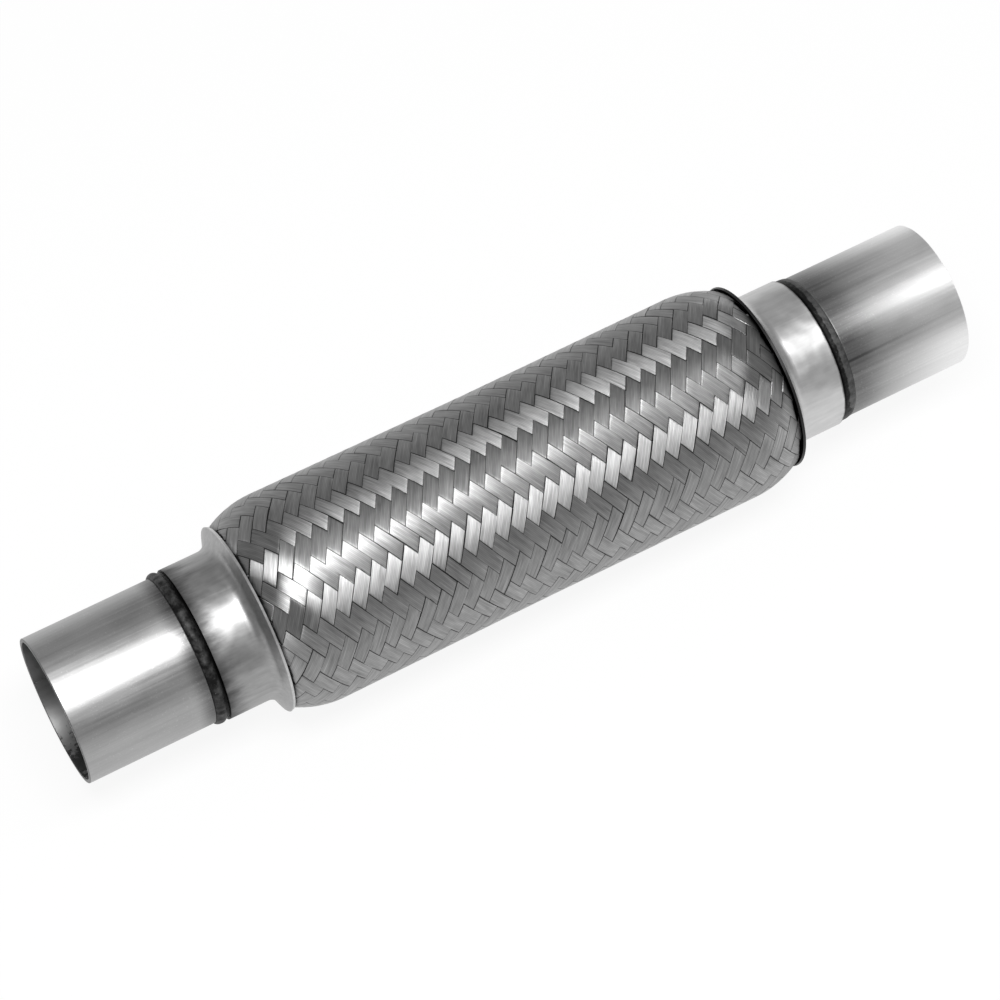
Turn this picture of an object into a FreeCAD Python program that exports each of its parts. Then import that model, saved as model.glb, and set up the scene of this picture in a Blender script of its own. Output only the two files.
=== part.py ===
"""Braided exhaust flex pipe with an extension tube at each end.

The pipe lies along X with its origin on the centreline, midway between the two open ends.
Gas flows towards +X. Every piece is a separate solid, written to parts/NAME.step.
All sizes are in millimetres and all angles in degrees.
"""

import FreeCAD
import Part
import math
import os

V = FreeCAD.Vector
ORIGIN = V(0, 0, 0)
X_AXIS = V(1, 0, 0)
Z_AXIS = V(0, 0, 1)

# Extension tubes
TUBE_BORE = 45.0
TUBE_WALL = 1.2
TUBE_LENGTH = 45.0
TUBE_DEBURR = 0.2
SEAM_WIDTH = 0.7
SEAM_DEPTH = 0.25
INLET_SEAM_ANGLE = 126.0
OUTLET_SEAM_ANGLE = 47.0

# Flexible middle, between the two faces that the tubes butt against
FLEX_LENGTH = 215.0

# Walls of the layers in each neck, from the bore outwards
LINER_WALL = 0.3
BELLOWS_WALL = 0.3
BRAID_WALL = 0.5
CAP_WALL = 0.8

# How far the liner's bore stands back from the tube's bore
LINER_STEP = 0.3

# End caps: a collar that opens into a flared lip
CAP_SETBACK = 1.0
CAP_LENGTH = 18.5
CAP_LIP_RADIUS = 30.6
CAP_FLARE_BEND = 3.8
CAP_FLARE_ANGLE = 68.0

# Weld beads between cap and tube, and the bevel of the tube's end that they fill
BEAD_WIDTH = 4.6
BEAD_HEIGHT = 1.3
BEAD_EDGE = 0.45
WELD_BEVEL = 0.4

# Outer braid, woven two over and two under
BRAID_BANDS = 24
BRAID_PITCH = 5.31
BRAID_ANGLE = 33.75
BRAID_RELIEF = 0.5
BRAID_HEM = 2
BRAID_WAIST_RADIUS = 33.5
BRAID_SWELL = 0.4
BRAID_SHOULDER_LENGTH = 16.0
BRAID_SHOULDER_BEND = 30.7
BRAID_LIP_GAP = 1.0
BRAID_BORE_SAG = 0.1

# Strip-wound liner: a cuff in each neck and a thicker body between them
LINER_BODY_WALL = 1.6
LINER_CONE = 2.0

# Bellows, with its roots just outside the liner and its crests just inside the braid
BELLOWS_PITCH = 8.6
BELLOWS_SETBACK = 10.6
BELLOWS_CONE = 8.0
BELLOWS_ROOT_GAP = 1.0
BELLOWS_CREST_GAP = 0.3

# Largest gap that is closed when faces are joined into one wall
WELD_TOLERANCE = 1e-4

# Radii and stations that follow from the sizes above
TUBE_BORE_R = TUBE_BORE / 2
TUBE_OUTER_R = TUBE_BORE_R + TUBE_WALL
LINER_BORE_R = TUBE_BORE_R + LINER_STEP
LINER_CUFF_R = LINER_BORE_R + LINER_WALL
BELLOWS_CUFF_R = LINER_CUFF_R + BELLOWS_WALL
NECK_R = BELLOWS_CUFF_R + BRAID_WALL
CAP_OUTER_R = NECK_R + CAP_WALL
BUTT_X = FLEX_LENGTH / 2
END_X = BUTT_X + TUBE_LENGTH
CAP_EDGE_X = BUTT_X - CAP_SETBACK
CAP_LIP_X = CAP_EDGE_X - CAP_LENGTH
BEAD_END_X = CAP_EDGE_X + BEAD_WIDTH
SHOULDER_X = CAP_LIP_X - BRAID_SHOULDER_LENGTH
LINER_BODY_R = LINER_BORE_R + LINER_BODY_WALL
BELLOWS_END_X = CAP_LIP_X - BELLOWS_SETBACK
CONVOLUTIONS = round(2 * BELLOWS_END_X / BELLOWS_PITCH)
HALF_PITCH = BELLOWS_END_X / CONVOLUTIONS
CREST_R = BRAID_WAIST_RADIUS - BRAID_RELIEF - BRAID_WALL - BELLOWS_CREST_GAP
ROOT_BORE_R = LINER_BODY_R + BELLOWS_ROOT_GAP
FLANK_WALL = BELLOWS_WALL * math.hypot(CREST_R - ROOT_BORE_R, HALF_PITCH) / HALF_PITCH


def at(x, radius):
    """Return the point of the XZ plane at a station and a radius."""
    return V(x, 0, radius)


def line(start, end):
    """Return the straight edge between two (x, radius) points."""
    return Part.LineSegment(at(*start), at(*end)).toShape()


def arc(start, middle, end):
    """Return the circular edge through three (x, radius) points."""
    return Part.Arc(at(*start), at(*middle), at(*end)).toShape()


def polar(centre, radius, angle):
    """Return the (x, radius) point at an angle round a centre, counted from +X towards +Z."""
    turn = math.radians(angle)
    return centre[0] + radius * math.cos(turn), centre[1] + radius * math.sin(turn)


def bend(centre, radius, start, end):
    """Return the circular edge round a centre from one angle to another."""
    spots = [polar(centre, radius, angle) for angle in (start, (start + end) / 2, end)]
    return arc(*spots)


def chain(spots):
    """Return the straight edges that join (x, radius) points in order."""
    return [line(a, b) for a, b in zip(spots, spots[1:])]


def ring(edges):
    """Return the solid that a closed outline sweeps round the pipe's axis."""
    return Part.Face(Part.Wire(edges)).revolve(ORIGIN, X_AXIS, 360)


def turned(piece):
    """Return the copy of an outlet piece for the inlet end, half a turn about Z."""
    twin = piece.copy()
    twin.rotate(ORIGIN, Z_AXIS, 180)
    return twin


def tube(seam_angle):
    """Rolled tube: a bevelled end for the weld, a deburred open end and a shallow seam inside."""
    start = (BUTT_X, TUBE_BORE_R)
    shell = ring(
        chain(
            [
                start,
                (END_X - TUBE_DEBURR, TUBE_BORE_R),
                (END_X, TUBE_BORE_R + TUBE_DEBURR),
                (END_X, TUBE_OUTER_R - TUBE_DEBURR),
                (END_X - TUBE_DEBURR, TUBE_OUTER_R),
                (BEAD_END_X, TUBE_OUTER_R),
                (BUTT_X, TUBE_OUTER_R - WELD_BEVEL),
                start,
            ]
        )
    )
    half = SEAM_WIDTH / 2
    corner = V(BUTT_X, half, TUBE_BORE_R - SEAM_DEPTH)
    section = Part.makePolygon(
        [
            corner,
            V(BUTT_X, -half, TUBE_BORE_R - SEAM_DEPTH),
            V(BUTT_X, 0, TUBE_BORE_R + SEAM_DEPTH),
            corner,
        ]
    )
    seam = Part.Face(section).extrude(V(TUBE_LENGTH, 0, 0))
    seam.rotate(ORIGIN, X_AXIS, seam_angle)
    return shell.cut(seam).Solids[0]


def weld_bead():
    """Ring of weld that fills the tube's bevel and closes the step at the cap's edge."""
    toe = (BEAD_END_X, TUBE_OUTER_R)
    crown = ((CAP_EDGE_X + BEAD_END_X) / 2, TUBE_OUTER_R + BEAD_HEIGHT)
    edge = (CAP_EDGE_X, TUBE_OUTER_R + BEAD_EDGE)
    root = [edge, (CAP_EDGE_X, NECK_R), (BUTT_X, NECK_R), (BUTT_X, TUBE_OUTER_R - WELD_BEVEL), toe]
    return ring([arc(toe, crown, edge)] + chain(root))


class Flare:
    """Section of the cap's flare, worked out from its outer face."""

    def __init__(self):
        self.turn = math.radians(CAP_FLARE_ANGLE)
        self.outer_tip = (CAP_LIP_X + CAP_WALL * math.sin(self.turn), CAP_LIP_RADIUS)
        bend_rise = CAP_FLARE_BEND * (1 - math.cos(self.turn))
        straight_rise = CAP_LIP_RADIUS - CAP_OUTER_R - bend_rise
        bend_run = CAP_FLARE_BEND * math.sin(self.turn)
        self.start_x = self.outer_tip[0] + straight_rise / math.tan(self.turn) + bend_run
        self.centre = (self.start_x, CAP_OUTER_R + CAP_FLARE_BEND)
        self.far_angle = -90 - CAP_FLARE_ANGLE

    def tip(self, depth):
        """Return the end of the flare's straight part, a depth below the outer face."""
        x = self.outer_tip[0] - depth * math.sin(self.turn)
        return x, self.outer_tip[1] - depth * math.cos(self.turn)

    def shoulder(self, depth):
        """Return the end of the flare's bend, a depth below the outer face."""
        return polar(self.centre, CAP_FLARE_BEND + depth, self.far_angle)

    def bend(self, depth):
        """Return the edge of the flare's bend, a depth below the outer face, from collar to lip."""
        return bend(self.centre, CAP_FLARE_BEND + depth, -90, self.far_angle)


FLARE = Flare()


def end_cap():
    """Pressed collar that grips the neck and opens towards the braid in a flared lip."""
    outer_tip = FLARE.tip(0)
    inner_tip = FLARE.tip(CAP_WALL)
    return ring(
        [
            line((CAP_EDGE_X, NECK_R), (CAP_EDGE_X, CAP_OUTER_R)),
            line((CAP_EDGE_X, CAP_OUTER_R), (FLARE.start_x, CAP_OUTER_R)),
            FLARE.bend(0),
            line(FLARE.shoulder(0), outer_tip),
            line(outer_tip, inner_tip),
            line(inner_tip, FLARE.shoulder(CAP_WALL)),
            FLARE.bend(CAP_WALL),
            line((FLARE.start_x, NECK_R), (CAP_EDGE_X, NECK_R)),
        ]
    )


def braid_line(depth):
    """Return the edges that the braid follows from waist to neck, a depth below its floor.

    The floor is the low level between the floats of the weave. From the waist the line swells
    to the shoulder, rounds over it, drops behind the lip and runs into the collar.
    """
    waist = (0, BRAID_WAIST_RADIUS - BRAID_RELIEF - depth)
    crest = (SHOULDER_X, waist[1] + BRAID_SWELL)
    round_r = BRAID_SHOULDER_BEND - depth
    centre = (SHOULDER_X, crest[1] - round_r)

    foot_centre = (FLARE.start_x - BRAID_LIP_GAP, FLARE.centre[1])
    foot_r = CAP_FLARE_BEND + CAP_WALL + depth
    foot_top = polar(foot_centre, foot_r, FLARE.far_angle)

    along = V(-math.cos(FLARE.turn), 0, math.sin(FLARE.turn))
    offset = at(*foot_top) - at(*centre)
    middle = -offset.dot(along)
    reach = math.sqrt(middle**2 - offset.dot(offset) + round_r**2)
    knee = at(*foot_top) + along * (middle + reach)
    knee_angle = math.degrees(math.atan2(knee.z - centre[1], knee.x - centre[0]))
    return [
        line(waist, crest),
        bend(centre, round_r, 90, knee_angle),
        line((knee.x, knee.z), foot_top),
        bend(foot_centre, foot_r, FLARE.far_angle, -90),
    ]


class Weave:
    """Skin of the braid, drawn on a grid of columns along it and steps round it.

    Two bands cross at each grid point whose column and step are both even or both odd. The
    other grid points are the low corners between them. A float is the stretch of one band that
    lies over two others. It has six low corners round it and is proudest in its middle.
    The bore has one flat for each step, and so has the pressed neck at each end.
    """

    def __init__(self):
        course = Part.Wire(braid_line(0))
        self.last = round(course.Length / (BRAID_PITCH / 2))
        self.half = course.discretize(Number=self.last + 1)
        self.steps = 2 * BRAID_BANDS
        self.points = []
        self.facets = []
        self.corners = {}
        inner = braid_line(BRAID_WALL)
        inner.append(line((FLARE.start_x - BRAID_LIP_GAP, BELLOWS_CUFF_R), (BUTT_X, BELLOWS_CUFF_R)))
        self.bore_half = Part.Wire(inner).discretize(Deflection=BRAID_BORE_SAG)

    def floor(self, column):
        """Return the station and the floor radius of a column, counted from the waist."""
        spot = self.half[abs(column)]
        return math.copysign(spot.x, column), spot.z

    def add(self, x, radius, step):
        """Add a point at a station, a radius and a step round the pipe, and return its number."""
        angle = math.radians(BRAID_ANGLE) + math.pi * step / BRAID_BANDS
        self.points.append((x, -radius * math.sin(angle), radius * math.cos(angle)))
        return len(self.points) - 1

    def corner(self, column, step):
        """Return the number of the grid point at a column and a step."""
        key = (column, step % self.steps)
        if key not in self.corners:
            self.corners[key] = self.add(*self.floor(column), step)
        return self.corners[key]

    def proud(self, column, step):
        """Add the top of a float, between grid points, lifted off the floor."""
        near, far = self.floor(math.floor(column)), self.floor(math.floor(column) + 1)
        share = column - math.floor(column)
        x = near[0] + share * (far[0] - near[0])
        radius = near[1] + share * (far[1] - near[1])
        full = min(1, (radius - NECK_R) / (BRAID_WAIST_RADIUS - BRAID_RELIEF - NECK_R))
        return self.add(x, radius + BRAID_RELIEF * full, step)

    def float_over(self, column, step, lean):
        """Add the float that starts at a crossing and leans round the pipe, up or down the steps."""
        rim = [
            (column - 1, step),
            (column, step - lean),
            (column + 1, step),
            (column + 2, step + lean),
            (column + 1, step + 2 * lean),
            (column, step + lean),
        ]
        low = [self.corner(*spot) for spot in rim]
        top = self.proud(column + 0.5, step + lean / 2)
        for near, after in zip(low, low[1:] + low[:1]):
            self.facets.append((near, after, top)[::lean])

    def flat_cell(self, column, step):
        """Add the flat cell of a crossing under the lip, where the bands are pressed flat."""
        left, right = self.corner(column - 1, step), self.corner(column + 1, step)
        below, above = self.corner(column, step - 1), self.corner(column, step + 1)
        self.facets.append((left, below, above))
        self.facets.append((right, above, below))

    def edge_cell(self, column, step):
        """Add the half cell of a crossing on the first or last column, cut off square."""
        inward = -1 if column > 0 else 1
        tip = self.corner(column + inward, step)
        centre = self.corner(column, step)
        below, above = self.corner(column, step - 1), self.corner(column, step + 1)
        self.facets.append((tip, centre, below)[::inward])
        self.facets.append((tip, above, centre)[::inward])

    def course(self, x, radius):
        """Add one point for each step, at a station and a radius, and return their numbers."""
        return [self.add(x, radius, step) for step in range(self.steps)]

    def band(self, near, far):
        """Add the flats between two courses of points, with near at the lower station outside."""
        for step in range(self.steps):
            after = (step + 1) % self.steps
            self.facets.append((near[step], far[step], far[after]))
            self.facets.append((near[step], far[after], near[after]))

    def bore(self):
        """Return the courses of the bore, whose flats touch the line that they follow."""
        half = [(spot.x, spot.z / math.cos(math.pi / self.steps)) for spot in self.bore_half]
        other = [(-x, radius) for x, radius in reversed(half[1:])]
        return [self.course(x, radius) for x, radius in other + half]

    def draw(self):
        """Return the closed wall as a solid."""
        for column in range(-self.last, self.last + 1):
            for step in range(column % 2, self.steps, 2):
                starts = step % 4 in (1, 2)
                partner = column + 1 if starts else column - 1
                if abs(column) == self.last:
                    self.edge_cell(column, step)
                elif max(abs(column), abs(partner)) >= self.last - BRAID_HEM:
                    self.flat_cell(column, step)
                elif starts:
                    self.float_over(column, step, -1 if step % 4 == 1 else 1)
        hems = [
            [self.corner(side * self.last, step) for step in range(self.steps)] for side in (1, -1)
        ]
        ends = [self.course(side * BUTT_X, NECK_R) for side in (1, -1)]
        bore = self.bore()
        loop = [hems[0], ends[0]] + bore[::-1] + [ends[1], hems[1]]
        for near, far in zip(loop, loop[1:]):
            self.band(near, far)
        skin = Part.Shape()
        skin.makeShapeFromMesh((self.points, self.facets), WELD_TOLERANCE, False)
        wall = Part.makeCompound(skin.Faces)
        wall.sewShape(WELD_TOLERANCE)
        return Part.Solid(wall)


def outer_braid():
    """Woven sleeve as one wall: floats outside, a plain bore and a pressed neck at each end."""
    return Weave().draw()


def bellows():
    """Thin convoluted tube: plain cuffs, and slanted flanks between its crests and roots."""
    bore = [(-BELLOWS_END_X, ROOT_BORE_R)]
    for turn in range(CONVOLUTIONS):
        start = 2 * turn * HALF_PITCH - BELLOWS_END_X
        bore.append((start + HALF_PITCH, CREST_R - FLANK_WALL))
        bore.append((start + 2 * HALF_PITCH, ROOT_BORE_R))
    outer = [(x, radius + FLANK_WALL) for x, radius in reversed(bore)]
    cuff_x = BELLOWS_END_X + BELLOWS_CONE
    outlet_cuff = [
        (cuff_x, LINER_CUFF_R),
        (BUTT_X, LINER_CUFF_R),
        (BUTT_X, BELLOWS_CUFF_R),
        (cuff_x, BELLOWS_CUFF_R),
    ]
    inlet_cuff = [(-x, radius) for x, radius in reversed(outlet_cuff)]
    return ring(chain(bore + outlet_cuff + outer + inlet_cuff + bore[:1]))


def liner():
    """Inner hose of interlocked strip: a plain cuff in each neck and a thicker body between them."""
    body_x = BELLOWS_END_X - LINER_CONE
    inlet_end = [
        (-BUTT_X, LINER_BORE_R),
        (-BUTT_X, LINER_CUFF_R),
        (-BELLOWS_END_X, LINER_CUFF_R),
        (-body_x, LINER_BODY_R),
    ]
    outlet_end = [(-x, radius) for x, radius in reversed(inlet_end)]
    return ring(chain(inlet_end + outlet_end + inlet_end[:1]))


def main():
    """Build every piece and write it."""
    os.makedirs("parts", exist_ok=True)
    pieces = {
        "inlet_tube": turned(tube(INLET_SEAM_ANGLE)),
        "outlet_tube": tube(OUTLET_SEAM_ANGLE),
        "inlet_weld_bead": turned(weld_bead()),
        "outlet_weld_bead": weld_bead(),
        "inlet_end_cap": turned(end_cap()),
        "outlet_end_cap": end_cap(),
        "outer_braid": outer_braid(),
        "bellows": bellows(),
        "liner": liner(),
    }
    for name, piece in pieces.items():
        piece.exportStep("parts/" + name + ".step")
        print(name, len(piece.Solids), round(piece.Volume, 1), piece.isValid())


main()
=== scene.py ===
"""Looks of a braided exhaust flex pipe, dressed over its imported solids.

The pipe lies along X with its origin on the centreline. Lengths are in metres, and angles are
in degrees unless a name says otherwise. An angle round the pipe is counted from +Z towards -Y.
Tones are greys from 0 to 1, and a spread is how far a cloudy pattern moves a value.
"""

import logging
import math
from dataclasses import dataclass, field
from enum import Enum

import bpy
import numpy as np
from mathutils import Matrix, Vector


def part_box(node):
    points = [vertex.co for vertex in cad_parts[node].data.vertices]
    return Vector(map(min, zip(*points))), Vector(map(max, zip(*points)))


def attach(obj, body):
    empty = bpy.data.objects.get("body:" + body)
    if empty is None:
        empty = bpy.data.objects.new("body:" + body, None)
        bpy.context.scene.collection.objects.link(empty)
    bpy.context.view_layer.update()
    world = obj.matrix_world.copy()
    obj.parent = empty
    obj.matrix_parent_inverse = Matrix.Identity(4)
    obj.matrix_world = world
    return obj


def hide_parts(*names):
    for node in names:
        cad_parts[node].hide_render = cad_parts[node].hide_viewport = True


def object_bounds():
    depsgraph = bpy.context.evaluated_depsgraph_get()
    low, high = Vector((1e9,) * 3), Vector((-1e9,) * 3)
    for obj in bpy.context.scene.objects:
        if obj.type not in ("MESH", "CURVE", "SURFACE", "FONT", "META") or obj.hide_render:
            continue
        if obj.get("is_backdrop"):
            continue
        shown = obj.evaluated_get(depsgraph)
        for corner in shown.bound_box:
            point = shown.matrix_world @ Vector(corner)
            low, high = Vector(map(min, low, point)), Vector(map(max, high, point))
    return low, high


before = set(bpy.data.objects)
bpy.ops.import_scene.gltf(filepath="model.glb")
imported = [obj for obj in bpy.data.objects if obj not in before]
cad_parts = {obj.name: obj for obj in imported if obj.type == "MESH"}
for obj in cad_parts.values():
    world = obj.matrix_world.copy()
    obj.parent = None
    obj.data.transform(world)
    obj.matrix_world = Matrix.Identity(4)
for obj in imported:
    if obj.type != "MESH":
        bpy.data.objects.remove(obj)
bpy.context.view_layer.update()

LOG = logging.getLogger("flex_pipe")
MM = 0.001
FULL_TURN = 2.0 * math.pi
PATTERN_MEAN = 0.5
PATTERN_ROUGHNESS = 0.6
ROOT = "root"


class End(Enum):
    """The two ends of the pipe, as the sign of their side along X."""

    INLET = -1
    OUTLET = 1

    @property
    def word(self) -> str:
        """Return the word that starts the names of this end's pieces."""
        return self.name.lower()


class Hand(Enum):
    """The two ways that a braid's bands wind round the pipe."""

    RIGHT = "right"
    LEFT = "left"

    @property
    def sign(self) -> int:
        """Return the sense in which these bands turn on their way to the outlet."""
        return 1 if self is Hand.LEFT else -1


@dataclass(frozen=True)
class Pattern:
    """Cloudy pattern: cells per unit of length, finer layers and factors on X, Y and Z."""

    scale: float
    detail: float = 4.0
    stretch: tuple[float, float, float] = (1.0, 1.0, 1.0)


class Graph:
    """Node tree of one finish, with short calls for the nodes that it uses."""

    def __init__(self, name: str) -> None:
        """Start a material with a plain surface shader.

        Args:
            name: The material's name.
        """
        self.material = bpy.data.materials.new(name)
        self.material.use_nodes = True
        self.tree = self.material.node_tree
        self.surface = self.tree.nodes["Principled BSDF"]
        self.output = self.tree.nodes["Material Output"]

    def feed(self, socket: bpy.types.NodeSocket, value: object) -> None:
        """Link a socket into an input, or set the input to a plain value.

        Args:
            socket: The input.
            value: An output socket, a number or a sequence of numbers.
        """
        if isinstance(value, bpy.types.NodeSocket):
            self.tree.links.new(value, socket)
        else:
            socket.default_value = value

    def node(self, kind: str, inputs: dict | None = None, **settings: object) -> bpy.types.Node:
        """Add a node.

        Args:
            kind: The node's type, without the words that all types start with.
            inputs: Values or sockets for its inputs, by name or number.
            **settings: Values for its own settings.

        Returns:
            The new node.
        """
        node = self.tree.nodes.new("ShaderNode" + kind)
        for key, value in settings.items():
            setattr(node, key, value)
        for key, value in (inputs or {}).items():
            self.feed(node.inputs[key], value)
        return node

    def math(self, operation: str, *values: object) -> bpy.types.NodeSocket:
        """Return the result of a sum on up to three values or sockets.

        Args:
            operation: The sum's name.
            *values: What it works on.

        Returns:
            The result's socket.
        """
        return self.node("Math", dict(enumerate(values)), operation=operation).outputs[0]

    def inverse(self, share: object) -> bpy.types.NodeSocket:
        """Return what a share leaves of 1.

        Args:
            share: The socket with the share.

        Returns:
            The remainder's socket.
        """
        return self.math("SUBTRACT", 1.0, share)

    def vary(self, base: object, pattern: object, spread: float) -> bpy.types.NodeSocket:
        """Return a value that a cloudy pattern moves up and down.

        Args:
            base: The value or socket to move.
            pattern: The pattern's socket.
            spread: How far it moves over the pattern's whole range.

        Returns:
            The moved value's socket.
        """
        off_mean = self.math("SUBTRACT", pattern, PATTERN_MEAN)
        return self.math("MULTIPLY_ADD", off_mean, spread, base)

    def dim(self, value: object, mask: object, share: float) -> bpy.types.NodeSocket:
        """Return a value that is lowered where a mask is set.

        Args:
            value: The socket to read.
            mask: The socket with the mask, from 0 to 1.
            share: The share taken off where the mask is 1.

        Returns:
            The lowered value's socket.
        """
        return self.math("MULTIPLY", value, self.math("MULTIPLY_ADD", mask, -share, 1.0))

    def step(self, value: object, low: float, high: float) -> bpy.types.NodeSocket:
        """Return how far a value has gone from low to high, eased, between 0 and 1.

        Args:
            value: The socket to read.
            low: The value that gives 0.
            high: The value that gives 1.

        Returns:
            The eased share's socket.
        """
        inputs = {"Value": value, "From Min": low, "From Max": high}
        return self.node("MapRange", inputs, interpolation_type="SMOOTHSTEP").outputs["Result"]

    def position(self) -> bpy.types.NodeSocket:
        """Return the point's place in the frame of the pipe."""
        return self.node("TexCoord").outputs["Object"]

    def split(self, vector: object) -> tuple[bpy.types.NodeSocket, ...]:
        """Return the three coordinates of a point.

        Args:
            vector: The socket with the point.

        Returns:
            The sockets of X, Y and Z.
        """
        return tuple(self.node("SeparateXYZ", {0: vector}).outputs)

    def noise(self, vector: object, pattern: Pattern) -> bpy.types.NodeSocket:
        """Return a cloudy value about 0.5 at each point.

        Args:
            vector: The socket with the point.
            pattern: The pattern's size and shape.

        Returns:
            The value's socket.
        """
        stretched = {0: vector, 1: pattern.stretch}
        spot = self.node("VectorMath", stretched, operation="MULTIPLY").outputs[0]
        inputs = {"Vector": spot, "Scale": pattern.scale, "Detail": pattern.detail}
        inputs["Roughness"] = PATTERN_ROUGHNESS
        return self.node("TexNoise", inputs).outputs[0]

    def paint(self, tone: object, roughness: object) -> None:
        """Set the surface's grey and its roughness.

        Args:
            tone: The socket with the grey.
            roughness: The socket with the roughness.
        """
        grey = self.node("CombineColor", {"Red": tone, "Green": tone, "Blue": tone})
        self.feed(self.surface.inputs["Base Color"], grey.outputs[0])
        self.feed(self.surface.inputs["Roughness"], roughness)

    def bump(self, height: object, distance: float, strength: float) -> None:
        """Raise the surface by a height from 0 to 1 times a distance.

        Args:
            height: The socket with the height.
            distance: The rise in metres at a height of 1.
            strength: How much of it shows.
        """
        inputs = {"Height": height, "Distance": distance, "Strength": strength}
        normal = self.node("Bump", inputs).outputs[0]
        self.feed(self.surface.inputs["Normal"], normal)

    def metal(self, metallic: float = 1.0) -> None:
        """Make the surface reflect as metal.

        Args:
            metallic: The share that reflects as bare metal.
        """
        self.surface.inputs["Metallic"].default_value = metallic

    def brush(self, share: float, **direction: str) -> None:
        """Draw the surface's highlights out, as brushing does.

        Args:
            share: How far they are drawn out.
            **direction: Settings of the node that gives the tangent.
        """
        self.surface.inputs["Anisotropic"].default_value = share
        tangent = self.node("Tangent", **direction)
        self.feed(self.surface.inputs["Tangent"], tangent.outputs[0])


@dataclass(frozen=True)
class WireFinish:
    """Bright drawn wire, laid side by side in flat bands.

    It reads the bands' own map: U runs across a band from 0 to 1, and V counts the crossings
    along it, shifted for each band so that no two are alike. Painted shade darkens the grooves
    between the wires, a thin painted shade line marks where a band comes out from under
    another, and painted shade darkens the bands beside the collars, where they run under the lips.
    """

    tone: float = 0.36
    wires: int = 9
    wire_run: float = 0.25
    wire_pattern: Pattern = Pattern(1.7, 2.0)
    wire_spread: float = 0.45
    wire_groove_shade_level: float = 0.8
    wire_depth: float = 0.03 * MM
    wire_bump: float = 0.5
    clouds: Pattern = Pattern(0.35, 3.0)
    cloud_spread: float = 0.25
    float_end_shade: float = 0.85
    float_end_shade_width: float = 0.07
    collar_painted_shade: float = 0.75
    inlet_shade_start_x: float = 86.0 * MM
    outlet_shade_start_x: float = 82.0 * MM
    full_shade_x: float = 88.5 * MM
    roughness: float = 0.31
    rough_spread: float = 0.05
    brushed: float = 1.0

    def material(self) -> bpy.types.Material:
        """Return the finish as a material."""
        g = Graph("braid_wire")
        point = g.node("UVMap", uv_map="band").outputs[0]
        across, along, _ = g.split(point)
        crest = g.math("ABSOLUTE", g.math("SINE", g.math("MULTIPLY", across, self.wires * math.pi)))
        number = g.math("FLOOR", g.math("MULTIPLY", across, self.wires))
        run = g.math("MULTIPLY", along, self.wire_run)
        wire = g.node("CombineXYZ", {0: number, 1: run}).outputs[0]
        cloud = g.noise(point, self.clouds)
        shade = g.vary(self.tone, g.noise(wire, self.wire_pattern), self.wire_spread)
        shade = g.vary(shade, cloud, self.cloud_spread)
        # Painted shade: the tone drops in the grooves between neighbouring wires.
        wire_groove_shade = g.math("MULTIPLY_ADD", crest, 1.0 - self.wire_groove_shade_level, self.wire_groove_shade_level)
        shade = g.math("MULTIPLY", shade, wire_groove_shade)
        x = g.split(g.position())[0]
        # Painted shade: the bands darken towards each collar, where they run under its lip.
        inlet_collar_shade = g.inverse(g.step(x, -self.full_shade_x, -self.inlet_shade_start_x))
        outlet_collar_shade = g.step(x, self.outlet_shade_start_x, self.full_shade_x)
        shade = g.dim(shade, g.math("ADD", inlet_collar_shade, outlet_collar_shade), self.collar_painted_shade)
        inside = g.node("Attribute", attribute_name="inside").outputs["Fac"]
        # Painted shade: a thin dark line where a band comes out from under a crossing band.
        shade = g.dim(shade, g.inverse(g.step(inside, 0.0, self.float_end_shade_width)), self.float_end_shade)
        g.paint(shade, g.vary(self.roughness, cloud, self.rough_spread))
        g.metal()
        g.brush(self.brushed, direction_type="UV_MAP", uv_map="band")
        g.bump(crest, self.wire_depth, self.wire_bump)
        return g.material


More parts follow.
